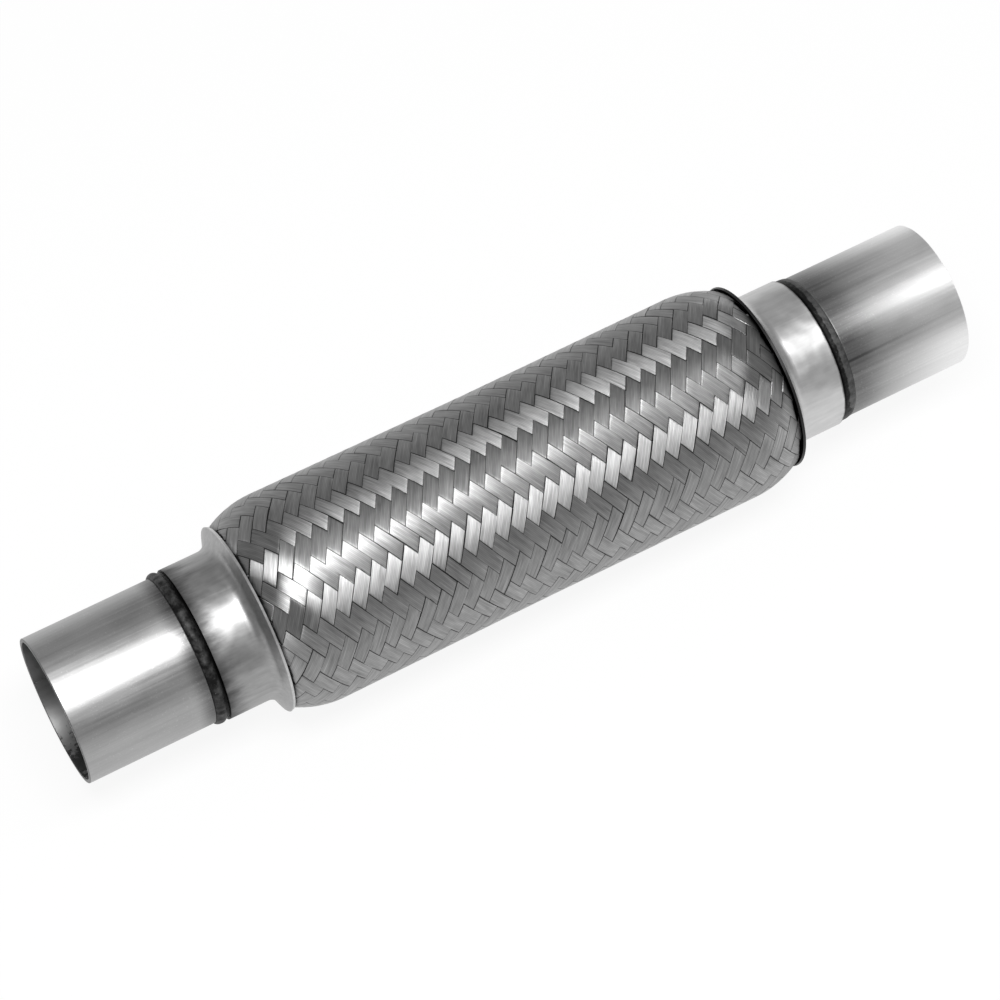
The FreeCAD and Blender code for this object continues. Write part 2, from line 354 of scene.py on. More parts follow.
@dataclass(frozen=True)
class TubeFinish:
    """Rolled and welded steel tube, drawn satin along its length and tinted beside its weld.

    The outside fades from tone at the weld to a paler tone at the open end, which is painted
    light. The bore has its own tone and a ragged dark band along one side. The seam's widths and
    the dark band's tear are in radians.
    """

    end: End
    tone: float = 0.38
    painted_light_end_tone: float = 0.40
    weld_x: float = 111.0 * MM
    end_x: float = 152.5 * MM
    heat: float = -0.1
    heat_length: float = 14.0 * MM
    seam_angle: float = 47.0
    seam_depth: float = -0.2
    seam_core: float = 0.006
    seam_edge: float = 0.03
    streaks: Pattern = Pattern(900.0, 3.0, (0.02, 1.0, 1.0))
    streak_spread: float = 0.2
    clouds: Pattern = Pattern(60.0, 3.0, (0.6, 1.0, 1.0))
    cloud_spread: float = 0.2
    frost: Pattern = Pattern(1900.0, 2.0)
    speck_range: tuple[float, float] = (0.6, 0.72)
    speck_tone: float = 0.09
    rim_painted_shade: float = 0.7
    rim_start: float = 0.3 * MM
    rim_full: float = 0.1 * MM
    bore_radius: float = 23.0 * MM
    bore_blend: float = 0.3 * MM
    bore_tone: float = 0.42
    bore_spread: float = 0.3
    dark_band: float = 0.7
    dark_band_angle: float = 152.0
    dark_band_width: float = 60.0
    dark_band_core: float = 0.6
    dark_band_pattern: Pattern = Pattern(420.0, 6.0)
    dark_band_tear: float = 2.4
    roughness: float = 0.37
    streak_rough: float = 0.15
    cloud_rough: float = 0.2
    brushed: float = 0.45
    relief: float = 0.02 * MM
    relief_bump: float = 0.5

    def material(self) -> bpy.types.Material:
        """Return the finish as a material."""
        g = Graph(self.end.word + "_tube_steel")
        point = g.position()
        x, y, z = g.split(point)
        reach = g.math("MULTIPLY", x, self.end.value)
        angle = g.math("ARCTAN2", g.math("MULTIPLY", y, -1.0), z)
        radius = g.math("SQRT", g.math("ADD", g.math("MULTIPLY", y, y), g.math("MULTIPLY", z, z)))
        outside = g.step(radius, self.bore_radius, self.bore_radius + self.bore_blend)
        streaks = g.noise(point, self.streaks)
        cloud = g.noise(point, self.clouds)
        frost = g.noise(point, self.frost)
        shade = g.vary(self.tone_with_end_light(g, reach), streaks, self.streak_spread)
        shade = g.vary(shade, cloud, self.cloud_spread)
        shade = self.marked_tone(g, shade, reach, angle)
        shade = g.math("MULTIPLY_ADD", g.step(frost, *self.speck_range), self.speck_tone, shade)
        lining = g.vary(self.bore_tone, cloud, self.bore_spread)
        # A ragged dark band along one side of the bore.
        lining = g.dim(lining, self.dark_band_mask(g, point, angle), self.dark_band)
        mixed = g.node("Mix", {0: outside, 2: lining, 3: shade}, data_type="FLOAT").outputs[0]
        # Painted shade: a thin dark line at the mouth's rim, which also dims its reflection.
        rim_shade_mask = g.step(reach, self.end_x - self.rim_start, self.end_x - self.rim_full)
        rough = g.vary(self.roughness, streaks, self.streak_rough)
        g.paint(g.dim(mixed, rim_shade_mask, self.rim_painted_shade), g.vary(rough, cloud, self.cloud_rough))
        g.metal()
        g.brush(self.brushed, direction_type="RADIAL", axis="X")
        height = g.math("MULTIPLY", g.math("ADD", streaks, frost), outside)
        g.bump(height, self.relief, self.relief_bump)
        return g.material

    def tone_with_end_light(self, g: Graph, reach: object) -> bpy.types.NodeSocket:
        """Return the outside's tone, with painted light that pales it towards the open end.

        Args:
            g: The material's nodes.
            reach: The socket with the distance from the pipe's middle.

        Returns:
            The tone's socket.
        """
        # Painted light: the tone rises towards the open end.
        along = g.step(reach, self.weld_x, self.end_x)
        return g.math("MULTIPLY_ADD", along, self.painted_light_end_tone - self.tone, self.tone)

    def marked_tone(
        self, g: Graph, shade: object, reach: object, angle: object
    ) -> bpy.types.NodeSocket:
        """Return the outside's tone with the tint of the weld's heat and the long seam.

        Args:
            g: The material's nodes.
            shade: The socket with the tone so far.
            reach: The socket with the distance from the pipe's middle.
            angle: The socket with the angle round the pipe, in radians.

        Returns:
            The tone's socket.
        """
        past = g.math("SUBTRACT", reach, self.weld_x)
        heat = g.inverse(g.step(past, 0.0, self.heat_length))
        shade = g.math("MULTIPLY_ADD", heat, self.heat, shade)
        off = g.math("ABSOLUTE", g.math("SUBTRACT", angle, math.radians(self.seam_angle)))
        seam = g.inverse(g.step(off, self.seam_core, self.seam_edge))
        return g.math("MULTIPLY_ADD", seam, self.seam_depth, shade)

    def dark_band_mask(self, g: Graph, point: object, angle: object) -> bpy.types.NodeSocket:
        """Return where the bore is darkened along one side, from 0 to 1.

        Args:
            g: The material's nodes.
            point: The socket with the point.
            angle: The socket with the angle round the pipe, in radians.

        Returns:
            The mask's socket.
        """
        ragged = g.vary(angle, g.noise(point, self.dark_band_pattern), self.dark_band_tear)
        aside = g.math("SUBTRACT", ragged, math.radians(self.dark_band_angle))
        far = g.math("ABSOLUTE", g.math("WRAP", aside, math.pi, -math.pi))
        half = math.radians(self.dark_band_width) / 2
        return g.inverse(g.step(far, half * self.dark_band_core, half))


@dataclass(frozen=True)
class CollarFinish:
    """Pressed collar, satin, stained by the heat of its weld and softly dented.

    The stain's start, end and tear are shares of its length. The lip's edge takes painted
    light: painted shade where its share is above 0, a painted highlight where it is below 0.
    """

    end: End
    tone: float = 0.37
    clouds: Pattern = Pattern(70.0)
    cloud_spread: float = 0.3
    streaks: Pattern = Pattern(700.0, 2.0, (0.15, 1.0, 1.0))
    streak_spread: float = 0.18
    edge_x: float = 106.5 * MM
    dark_band: float = 0.85
    stain_length: float = 6.0 * MM
    stain_start: float = -0.4
    stain_end: float = 1.3
    dark_band_pattern: Pattern = Pattern(260.0, 5.0, (0.35, 1.0, 1.0))
    dark_band_tear: float = 1.8
    lip_x: float = 88.9 * MM
    lip_blend: float = 0.2 * MM
    lip_shade_and_highlight: float = 0.0
    roughness: float = 0.42
    cloud_rough: float = 0.35
    stain_rough: float = 0.12
    brushed: float = 0.25
    dents: Pattern = Pattern(120.0, 1.0)
    dent_depth: float = 0.8 * MM
    dent_bump: float = 0.6
    streak_relief: float = 0.03

    def material(self) -> bpy.types.Material:
        """Return the finish as a material."""
        g = Graph(self.end.word + "_collar_steel")
        point = g.position()
        reach = g.math("MULTIPLY", g.split(point)[0], self.end.value)
        back = g.math("SUBTRACT", self.edge_x, reach)
        ragged = g.noise(point, self.dark_band_pattern)
        torn = g.vary(back, ragged, -self.dark_band_tear * self.stain_length)
        start, end = self.stain_start * self.stain_length, self.stain_end * self.stain_length
        dark_band = g.inverse(g.step(torn, start, end))
        # Painted light at the lip's edge: shade on the outlet collar, a highlight on the inlet
        # collar.
        lip_light_mask = g.inverse(g.step(reach, self.lip_x - self.lip_blend, self.lip_x))
        cloud = g.noise(point, self.clouds)
        streaks = g.noise(point, self.streaks)
        shade = g.vary(self.tone, cloud, self.cloud_spread)
        shade = g.vary(shade, streaks, self.streak_spread)
        shade = g.dim(g.dim(shade, dark_band, self.dark_band), lip_light_mask, self.lip_shade_and_highlight)
        rough = g.vary(self.roughness, cloud, self.cloud_rough)
        g.paint(shade, g.math("MULTIPLY_ADD", dark_band, self.stain_rough, rough))
        g.metal()
        g.brush(self.brushed, direction_type="RADIAL", axis="X")
        dents = g.math("MULTIPLY_ADD", streaks, self.streak_relief, g.noise(point, self.dents))
        g.bump(dents, self.dent_depth, self.dent_bump)
        return g.material


@dataclass(frozen=True)
class PlainFinish:
    """Mottled bare metal of one tone, for what lies inside the pipe and its collars."""

    name: str
    tone: float
    spread: float
    roughness: float
    grain: float
    relief: float
    finer: float = 6.0
    fine_detail: float = 3.0
    least_tone: float = 0.02
    rough_spread: float = 0.4
    relief_bump: float = 0.7

    def material(self) -> bpy.types.Material:
        """Return the finish as a material."""
        g = Graph(self.name)
        point = g.position()
        cloud = g.noise(point, Pattern(self.grain))
        fine = g.noise(point, Pattern(self.grain * self.finer, self.fine_detail))
        mixed = g.math("MULTIPLY_ADD", fine, 0.5, g.math("MULTIPLY", cloud, 0.5))
        shade = g.math("MAXIMUM", g.vary(self.tone, mixed, self.spread), self.least_tone)
        g.paint(shade, g.vary(self.roughness, cloud, self.rough_spread))
        g.metal()
        g.bump(fine, self.relief, self.relief_bump)
        return g.material


@dataclass(frozen=True)
class BeadFinish:
    """Dark weld oxide with pits and a few painted glints, which fades into the tube at its toe.

    The dark reaches further out on the low side that faces the photograph's camera.
    """

    end: End
    tone: float = 0.04
    toe_tone: float = 0.05
    least_tone: float = 0.015
    crust: Pattern = Pattern(330.0)
    crust_spread: float = 0.3
    pits: Pattern = Pattern(1800.0, 3.0)
    painted_glint_range: tuple[float, float] = (0.68, 0.78)
    painted_glint_tone: float = 0.3
    edge_x: float = 106.5 * MM
    crevice_shade: float = 1.25 * MM
    crevice_shade_core: float = 0.45
    dark_length: float = 4.4 * MM
    toe_blend: float = 0.4 * MM
    toe_tear: float = 1.6 * MM
    low_length: float = 3.0 * MM
    low_z: tuple[float, float] = (-6.0 * MM, 2.0 * MM)
    near_y: tuple[float, float] = (-20.0 * MM, -12.0 * MM)
    roughness: float = 0.55
    crust_rough: float = 0.4
    glint_rough: float = -0.15
    metallic: float = 0.9
    crust_relief: float = 1.5
    relief: float = 0.16 * MM
    relief_bump: float = 0.8

    def material(self) -> bpy.types.Material:
        """Return the finish as a material."""
        g = Graph(self.end.word + "_weld_oxide")
        point = g.position()
        x, y, z = g.split(point)
        past = g.math("SUBTRACT", g.math("MULTIPLY", x, self.end.value), self.edge_x)
        crust = g.noise(point, self.crust)
        pits = g.noise(point, self.pits)
        # The dark toe reaches further out on the low side that faces the camera.
        near = g.inverse(g.step(y, *self.near_y))
        low = g.inverse(g.step(z, *self.low_z))
        ragged = g.vary(past, crust, self.toe_tear)
        ragged = g.math("MULTIPLY_ADD", g.math("MULTIPLY", near, low), -self.low_length, ragged)
        toe = g.step(ragged, self.dark_length - self.toe_blend, self.dark_length)
        # Painted shade: the bead goes black in the crevice at the collar's edge.
        crevice_shade = g.step(past, self.crevice_shade_core * self.crevice_shade, self.crevice_shade)
        # Painted highlight: small bright glints on the oxide.
        painted_glint = g.step(pits, *self.painted_glint_range)
        shade = g.vary(self.tone, crust, self.crust_spread)
        shade = g.math("MULTIPLY_ADD", painted_glint, self.painted_glint_tone, shade)
        shade = g.math("MULTIPLY_ADD", toe, self.toe_tone - self.tone, shade)
        shade = g.math("MULTIPLY", g.math("MAXIMUM", shade, self.least_tone), crevice_shade)
        rough = g.vary(self.roughness, crust, self.crust_rough)
        g.paint(shade, g.math("MULTIPLY_ADD", painted_glint, self.glint_rough, rough))
        g.metal(self.metallic)
        height = g.math("MULTIPLY_ADD", crust, self.crust_relief, pits)
        g.bump(height, self.relief, self.relief_bump)
        return g.material


def put(
    name: str, mesh: bpy.types.Mesh, finish: bpy.types.Material, crease: float = 180.0
) -> bpy.types.Object:
    """Place a mesh in the scene as a piece of the pipe.

    Args:
        name: The piece's name.
        mesh: Its mesh, in the frame of the pipe.
        finish: Its material.
        crease: The angle between two faces from which the edge between them is drawn sharp.

    Returns:
        The new piece.
    """
    piece = bpy.data.objects.new(name, mesh)
    bpy.context.scene.collection.objects.link(piece)
    mesh.materials.append(finish)
    for face in mesh.polygons:
        face.use_smooth = True
    mesh.set_sharp_from_angle(angle=math.radians(crease))
    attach(piece, ROOT)
    LOG.info("%s: %d faces", name, len(mesh.polygons))
    return piece


def dress(node: str, finish: bpy.types.Material) -> None:
    """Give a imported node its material.

    Args:
        node: The node's name.
        finish: The material.
    """
    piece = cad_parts[node]
    piece.data.materials.clear()
    piece.data.materials.append(finish)
    LOG.info("%s: dressed", node)


def ring_faces(rings: int, across: int, closed: bool) -> np.ndarray:
    """Return the quads that join rings of points, one ring after the other.

    Args:
        rings: How many rings there are.
        across: How many points each ring has.
        closed: Whether the last ring joins the first.

    Returns:
        The quads, as rows of four point numbers.
    """
    last = rings if closed else rings - 1
    ring, point = np.meshgrid(np.arange(last), np.arange(across), indexing="ij")
    after, beside = (ring + 1) % rings, (point + 1) % across
    corners = [ring * across + point, ring * across + beside, after * across + beside]
    corners.append(after * across + point)
    return np.stack(corners, axis=-1).reshape(-1, 4)


def lathe_mesh(name: str, x: np.ndarray, radius: np.ndarray) -> bpy.types.Mesh:
    """Return a closed ring whose section may change from angle to angle.

    Args:
        name: The mesh's name.
        x: Stations, as rows of angles and columns of section points.
        radius: Radii in the same layout.

    Returns:
        The mesh.
    """
    angles = np.linspace(0.0, FULL_TURN, len(x), endpoint=False)[:, None]
    points = np.stack([x, -radius * np.sin(angles), radius * np.cos(angles)], axis=-1)
    mesh = bpy.data.meshes.new(name)
    faces = ring_faces(*x.shape, closed=True)
    mesh.from_pydata(points.reshape(-1, 3).tolist(), [], faces.tolist())
    mesh.validate()
    return mesh


@dataclass
class BraidCourse:
    """Line that the braid's floor follows, from its waist over the shoulder to its hem.

    The floor is the low level between the floats of the weave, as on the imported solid. The
    line's direction at a point is taken over nudge to each side of it.
    """

    waist_radius: float = 33.0 * MM
    swell: float = 0.4 * MM
    shoulder_length: float = 16.0 * MM
    shoulder_bend: float = 30.7 * MM
    lip_gap: float = 1.0 * MM
    lip_radius: float = 30.6 * MM
    flare_bend: float = 3.8 * MM
    flare_angle: float = 68.0
    cap_wall: float = 0.8 * MM
    neck_radius: float = 23.9 * MM
    arc_points: int = 40
    nudge: float = 0.4 * MM
    spots: np.ndarray = field(init=False)
    reach: np.ndarray = field(init=False)

    def __post_init__(self) -> None:
        """Work out the line's points and how far along it each one lies."""
        lip_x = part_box("outlet_end_cap")[0][0]
        turn = math.radians(self.flare_angle)
        cap_radius = self.neck_radius + self.cap_wall
        tip_x = lip_x + self.cap_wall * math.sin(turn)
        rise = self.lip_radius - cap_radius - self.flare_bend * (1 - math.cos(turn))
        start_x = tip_x + rise / math.tan(turn) + self.flare_bend * math.sin(turn)
        foot = np.array([start_x - self.lip_gap, cap_radius + self.flare_bend])
        foot_radius = self.flare_bend + self.cap_wall
        foot_top = foot + foot_radius * np.array([-math.sin(turn), -math.cos(turn)])
        crest = np.array([lip_x - self.shoulder_length, self.waist_radius + self.swell])
        centre = crest - np.array([0.0, self.shoulder_bend])
        along = np.array([-math.cos(turn), math.sin(turn)])
        offset = foot_top - centre
        middle = -offset @ along
        run = middle + math.sqrt(middle**2 - offset @ offset + self.shoulder_bend**2)
        knee = foot_top + along * run
        knee_angle = math.atan2(knee[1] - centre[1], knee[0] - centre[0])
        shoulder = self.arc(centre, self.shoulder_bend, math.pi / 2, knee_angle)
        hem = self.arc(foot, foot_radius, -math.pi / 2 - turn, -math.pi / 2)
        self.spots = np.vstack([[[0.0, self.waist_radius]], shoulder, hem])
        steps = np.linalg.norm(np.diff(self.spots, axis=0), axis=1)
        self.reach = np.concatenate([[0.0], np.cumsum(steps)])

    def arc(self, centre: np.ndarray, radius: float, start: float, end: float) -> np.ndarray:
        """Return points on a circle in the plane of station and radius.

        Args:
            centre: The circle's centre.
            radius: The circle's radius.
            start: The first point's angle in radians.
            end: The last point's angle in radians.

        Returns:
            The points, as rows of station and radius.
        """
        angles = np.linspace(start, end, self.arc_points)
        return centre + radius * np.stack([np.cos(angles), np.sin(angles)], axis=-1)

    @property
    def length(self) -> float:
        """Return the line's length from the waist to the hem."""
        return float(self.reach[-1])

    def at(self, far: np.ndarray) -> tuple[np.ndarray, np.ndarray]:
        """Return the stations and radii of points on the line.

        Args:
            far: Lengths along the line from the waist.

        Returns:
            The stations and the radii.
        """
        x = np.interp(far, self.reach, self.spots[:, 0])
        return x, np.interp(far, self.reach, self.spots[:, 1])

    def place(self, distance: np.ndarray, lift: np.ndarray) -> tuple[np.ndarray, np.ndarray]:
        """Return the stations and radii of points beside the line.

        Args:
            distance: Lengths along the line from the waist, negative towards the inlet.
            lift: How far each point stands out, square to the line.

        Returns:
            The stations and the radii.
        """
        side = np.where(distance < 0, -1.0, 1.0)
        far = np.minimum(np.abs(distance), self.length)
        x, radius = self.at(far)
        ahead_x, ahead_radius = self.at(np.minimum(far + self.nudge, self.length))
        behind_x, behind_radius = self.at(np.maximum(far - self.nudge, 0.0))
        run, fall = ahead_x - behind_x, ahead_radius - behind_radius
        size = np.hypot(run, fall)
        return side * (x - lift * fall / size), radius + lift * run / size


@dataclass
class WovenBraid:
    """Outer sleeve of flat wire bands, woven two over and two under.

    Bands cross where two whole numbers meet, one for each hand. A band of one hand keeps its
    own number and passes the other hand's numbers one by one. Their sum gives the place along
    the pipe and their difference gives the angle round it. Fields without a unit are in
    crossings or are shares. A band's section runs round its edge, across and up.
    """

    bands: int = 24
    pitch: float = 5.31 * MM
    start_angle: float = 33.75
    fill: float = 0.985
    fill_spread: float = 0.03
    over: float = 0.34 * MM
    under: float = 0.04 * MM
    thickness: float = 0.22 * MM
    crown: float = 0.02 * MM
    ease: float = 0.22
    cover: float = 0.16
    sway: float = 0.02
    sway_rate: float = 0.37
    second_sway: float = 0.6
    second_sway_rate: float = 0.83
    float_wave: float = 0.01 * MM
    float_wave_rate: float = 0.61
    map_shift: float = 57.0
    crease: float = 30.0
    neck_wall: float = 0.5 * MM
    neck_overlap: float = 0.5 * MM
    neck_angles: int = 96
    seed: int = 11
    dive_stations: tuple[float, ...] = (-0.38, -0.27, -0.16, -0.05, 0.05, 0.16, 0.27, 0.38)
    float_stations: tuple[float, ...] = (0.7, 1.0, 1.3)
    section_across: tuple[float, ...] = (-0.5, -0.475, -0.16, 0.16, 0.475, 0.5, 0.46, -0.46)
    section_level: tuple[float, ...] = (0.0, 0.5, 0.5, 0.5, 0.5, 0.0, -0.5, -0.5)
    course: BraidCourse = field(default_factory=BraidCourse)

    def inside(self, passed: np.ndarray) -> np.ndarray:
        """Return how far inside a float a band is where it has passed a number of crossings.

        Args:
            passed: Crossings passed since the band rose, where a round of four has two over
                and then two under.

        Returns:
            Distances to the nearest end of the float in crossings, negative where it runs under.
        """
        turn = np.mod(passed, 4.0)
        shown = np.minimum(turn, 2.0 - turn)
        hidden = -np.minimum(turn - 2.0, 4.0 - turn)
        return np.where(turn < 2.0, shown, hidden)

    def height(self, inside: np.ndarray) -> np.ndarray:
        """Return a band's height, which drops only where another band already covers it.

        Args:
            inside: Distances inside the float, in crossings.

        Returns:
            Heights from 0, under, to 1, over.
        """
        share = np.clip((inside + self.cover) / self.ease, -1.0, 1.0)
        return 0.5 + 0.5 * np.sin(share * math.pi / 2)

    def crossings(self, number: int, rise: float) -> np.ndarray:
        """Return where a band is sampled, close together where it dives.

        Args:
            number: The band's own number.
            rise: Where bands of its hand rise, in crossings past their own number.

        Returns:
            Places along the band, as numbers of the other hand.
        """
        columns = 2.0 * self.course.length / self.pitch
        first = math.floor((-columns - number - 2.0) / 2.0)
        last = math.ceil((columns - number + 2.0) / 2.0)
        rounds = np.arange(first, last + 1) * 2.0
        pattern = np.array(self.dive_stations + self.float_stations)
        other = (rounds[:, None] + pattern[None, :]).ravel() + number % 2 + rise
        return other[np.abs(other + number) <= columns]

    def band(
        self, hand: Hand, number: int, rng: np.random.Generator
    ) -> tuple[np.ndarray, np.ndarray, np.ndarray]:
        """Return the points and the map of one band.

        Args:
            hand: Which way it winds.
            number: Its own number.
            rng: Source of its small unevenness.

        Returns:
            Points as rings by section points by three, the map as rings by section points by
            two, and how far inside a float each point is.
        """
        rise = 0.5 if hand is Hand.RIGHT else 1.5
        other = self.crossings(number, rise)
        across = np.array(self.section_across)
        level = np.array(self.section_level) * self.thickness
        level = level - self.crown * (2.0 * across) ** 2
        width = self.fill * (1.0 + self.fill_spread * rng.standard_normal())
        waves = rng.uniform(0.0, FULL_TURN, 3)
        sway = self.sway * np.sin(other * self.sway_rate + waves[0])
        second = self.second_sway * self.sway * np.sin(other * self.second_sway_rate + waves[1])
        own = number + (sway + second)[:, None] + width * across[None, :]
        past = np.broadcast_to(other[:, None], own.shape)
        along, angle = own + past, hand.sign * (past - own)
        inside = self.inside(hand.sign * (other - number - rise))
        lift = self.under + (self.over - self.under) * self.height(inside)
        lift = lift + self.float_wave * np.sin(other * self.float_wave_rate + waves[2])
        lift = lift[:, None] + level[None, :]
        x, radius = self.course.place(along * self.pitch / 2.0, lift)
        turn = np.radians(self.start_angle + angle * 180.0 / self.bands)
        points = np.stack([x, -radius * np.sin(turn), radius * np.cos(turn)], axis=-1)
        u, v = np.broadcast_to(across + 0.5, own.shape), past + self.map_shift * number
        return points, np.stack([u, v], axis=-1), np.broadcast_to(inside[:, None], own.shape)

    def mesh(self, hand: Hand) -> bpy.types.Mesh:
        """Return all the bands of one hand as a mesh.

        Args:
            hand: Which way they wind.

        Returns:
            The mesh, with its map and how far inside a float each point is.
        """
        rng = np.random.default_rng(self.seed + (hand is Hand.LEFT))
        points, charts, depths, faces, count = [], [], [], [], 0
        for number in range(self.bands):
            spots, chart, inside = self.band(hand, number, rng)
            rings, across = spots.shape[:2]
            first = np.arange(across) + count
            last = first + (rings - 1) * across
            quads = ring_faces(rings, across, closed=False) + count
            faces.extend(quads[:, :: -hand.sign].tolist())
            faces.append(first[:: hand.sign].tolist())
            faces.append(last[:: -hand.sign].tolist())
            points.append(spots.reshape(-1, 3))
            charts.append(chart.reshape(-1, 2))
            depths.append(inside.ravel())
            count += rings * across
        mesh = bpy.data.meshes.new("braid_" + hand.value)
        mesh.from_pydata(np.vstack(points).tolist(), [], faces)
        corners = np.empty(len(mesh.loops), dtype=np.int64)
        mesh.loops.foreach_get("vertex_index", corners)
        layer = mesh.uv_layers.new(name="band")
        layer.data.foreach_set("uv", np.vstack(charts)[corners].astype(np.float32).ravel())
        depth = mesh.attributes.new("inside", "FLOAT", "POINT")
        depth.data.foreach_set("value", np.concatenate(depths).astype(np.float32))
        return mesh

    def neck_mesh(self) -> bpy.types.Mesh:
        """Return the pressed ends of the sleeve inside both collars."""
        radius = self.course.neck_radius
        start = self.course.spots[-1, 0] - self.neck_overlap
        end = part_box("outer_braid")[1][0]
        section_x = np.array([start, end, end, start])
        section_r = np.array([radius, radius, radius - self.neck_wall, radius - self.neck_wall])
        angles = np.linspace(0.0, FULL_TURN, self.neck_angles, endpoint=False)[:, None]
        y, z = -section_r * np.sin(angles), section_r * np.cos(angles)
        x = np.broadcast_to(section_x, y.shape)
        points, faces = [], []
        for side in End:
            quads = ring_faces(*y.shape, closed=True) + len(points) * y.size
            faces.extend(quads[:, :: side.value].tolist())
            points.append(np.stack([side.value * x, y, z], axis=-1).reshape(-1, 3))
        mesh = bpy.data.meshes.new("braid_necks")
        mesh.from_pydata(np.vstack(points).tolist(), [], faces)
        return mesh

    def build(self) -> None:
        """Place the bands and the pressed ends instead of the plain sleeve."""
        wire = WireFinish().material()
        names = {Hand.RIGHT: "right_hand_bands", Hand.LEFT: "left_hand_bands"}
        for hand, name in names.items():
            piece = put(name, self.mesh(hand), wire, crease=self.crease)
            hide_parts("outer_braid")
        pressed = PlainFinish(
            "pressed_braid", tone=0.35, spread=0.3, roughness=0.5, grain=900.0, relief=0.05 * MM
        )
        necks = put("braid_necks", self.neck_mesh(), pressed.material())
        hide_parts("outer_braid")


@dataclass
class WeldBead:
    """Ring of weld between collar and tube, uneven and pitted, with a crevice at the collar.

    Its arch rises over the part past crown_share of its width. Long waves round the ring move
    its toe and its height, lumps and fine ripples ride on the arch, and the waves' fields give
    their counts round the ring.
    """

    end: End
    finish: BeadFinish
    tube_radius: float = 23.7 * MM
    neck_radius: float = 23.9 * MM
    butt_x: float = 107.5 * MM
    bevel: float = 0.4 * MM
    edge_height: float = 0.25 * MM
    crown_height: float = 1.25 * MM
    crown_share: float = 0.22
    crown_drop: float = 0.2 * MM
    crown_wave: float = 0.06 * MM
    arch_power: float = 0.6
    long_waves: range = range(1, 8)
    lump_waves: range = range(11, 39, 3)
    lump_calm: float = 4.0
    lump_skew: float = 3.0
    lump_height: float = 0.14 * MM
    ripples: int = 58
    ripple_height: float = 0.05 * MM
    ripple_level: float = 0.6
    ripple_bow: float = 1.1
    ripple_drift: float = 0.4
    toe_length: float = 0.25 * MM
    toe_level: float = 0.8
    toe_wave: float = 0.4
    toe_power: int = 6
    angles: int = 592
    arc_points: int = 16
    phase_count: int = 40
    seed: int = 5

    def mesh(self, name: str, low: float, high: float) -> bpy.types.Mesh:
        """Return the bead's mesh.

        Args:
            name: The mesh's name.
            low: The station of the bead's edge at the collar.
            high: The station of its toe on the tube.

        Returns:
            The mesh.
        """
        rng = np.random.default_rng(self.seed + self.end.value)
        turn = np.linspace(0.0, FULL_TURN, self.angles, endpoint=False)[:, None]
        share = np.linspace(0.0, 1.0, self.arc_points)[None, :]
        phases = rng.uniform(0.0, FULL_TURN, self.phase_count)
        slow = sum(np.sin(k * turn + phases[k]) / k for k in self.long_waves)
        skew = self.lump_skew * share
        lumps = sum(np.sin(k * turn + skew + phases[k]) for k in self.lump_waves) / self.lump_calm
        arch_share = np.clip((share - self.crown_share) / (1.0 - self.crown_share), 0.0, 1.0)
        arch = np.sin(math.pi * arch_share) ** self.arch_power
        bowed = self.ripples / 2 * turn + self.ripple_bow * arch
        ripple = np.abs(np.sin(bowed + self.ripple_drift * slow))
        crown = self.crown_height - self.crown_drop + self.crown_wave * slow
        relief = self.ripple_height * (ripple - self.ripple_level) + self.lump_height * lumps
        radius = self.tube_radius + self.edge_height * (1 - share) + crown * arch + relief * arch
        toe = self.toe_length * (self.toe_level + self.toe_wave * slow)
        x = low + (high - low) * share - toe * share**self.toe_power
        root_x = np.array([self.butt_x, self.butt_x, low])
        root_radius = np.array([self.tube_radius - self.bevel, self.neck_radius, self.neck_radius])
        x = np.hstack([x, np.broadcast_to(root_x, (self.angles, root_x.size))])
        radius = np.hstack([radius, np.broadcast_to(root_radius, (self.angles, root_x.size))])
        return lathe_mesh(name, self.end.value * x, radius)

    def build(self) -> None:
        """Place the bead instead of the plain ring."""
        node = self.end.word + "_weld_bead"
        corners = [abs(corner[0]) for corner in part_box(node)]
        mesh = self.mesh(node + "_pitted", min(corners), max(corners))
        if self.end is End.OUTLET:
            mesh.flip_normals()
        piece = put(node + "_pitted", mesh, self.finish.material())
        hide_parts(node)


@dataclass
class EndFittings:
    """Tube, collar and weld bead of one end."""

    tube: TubeFinish
    collar: CollarFinish
    weld: WeldBead

    def build(self) -> None:
        """Give the tube and the collar their finishes and place the bead."""
        word = self.weld.end.word
        dress(word + "_tube", self.tube.material())
        dress(word + "_end_cap", self.collar.material())
        self.weld.build()


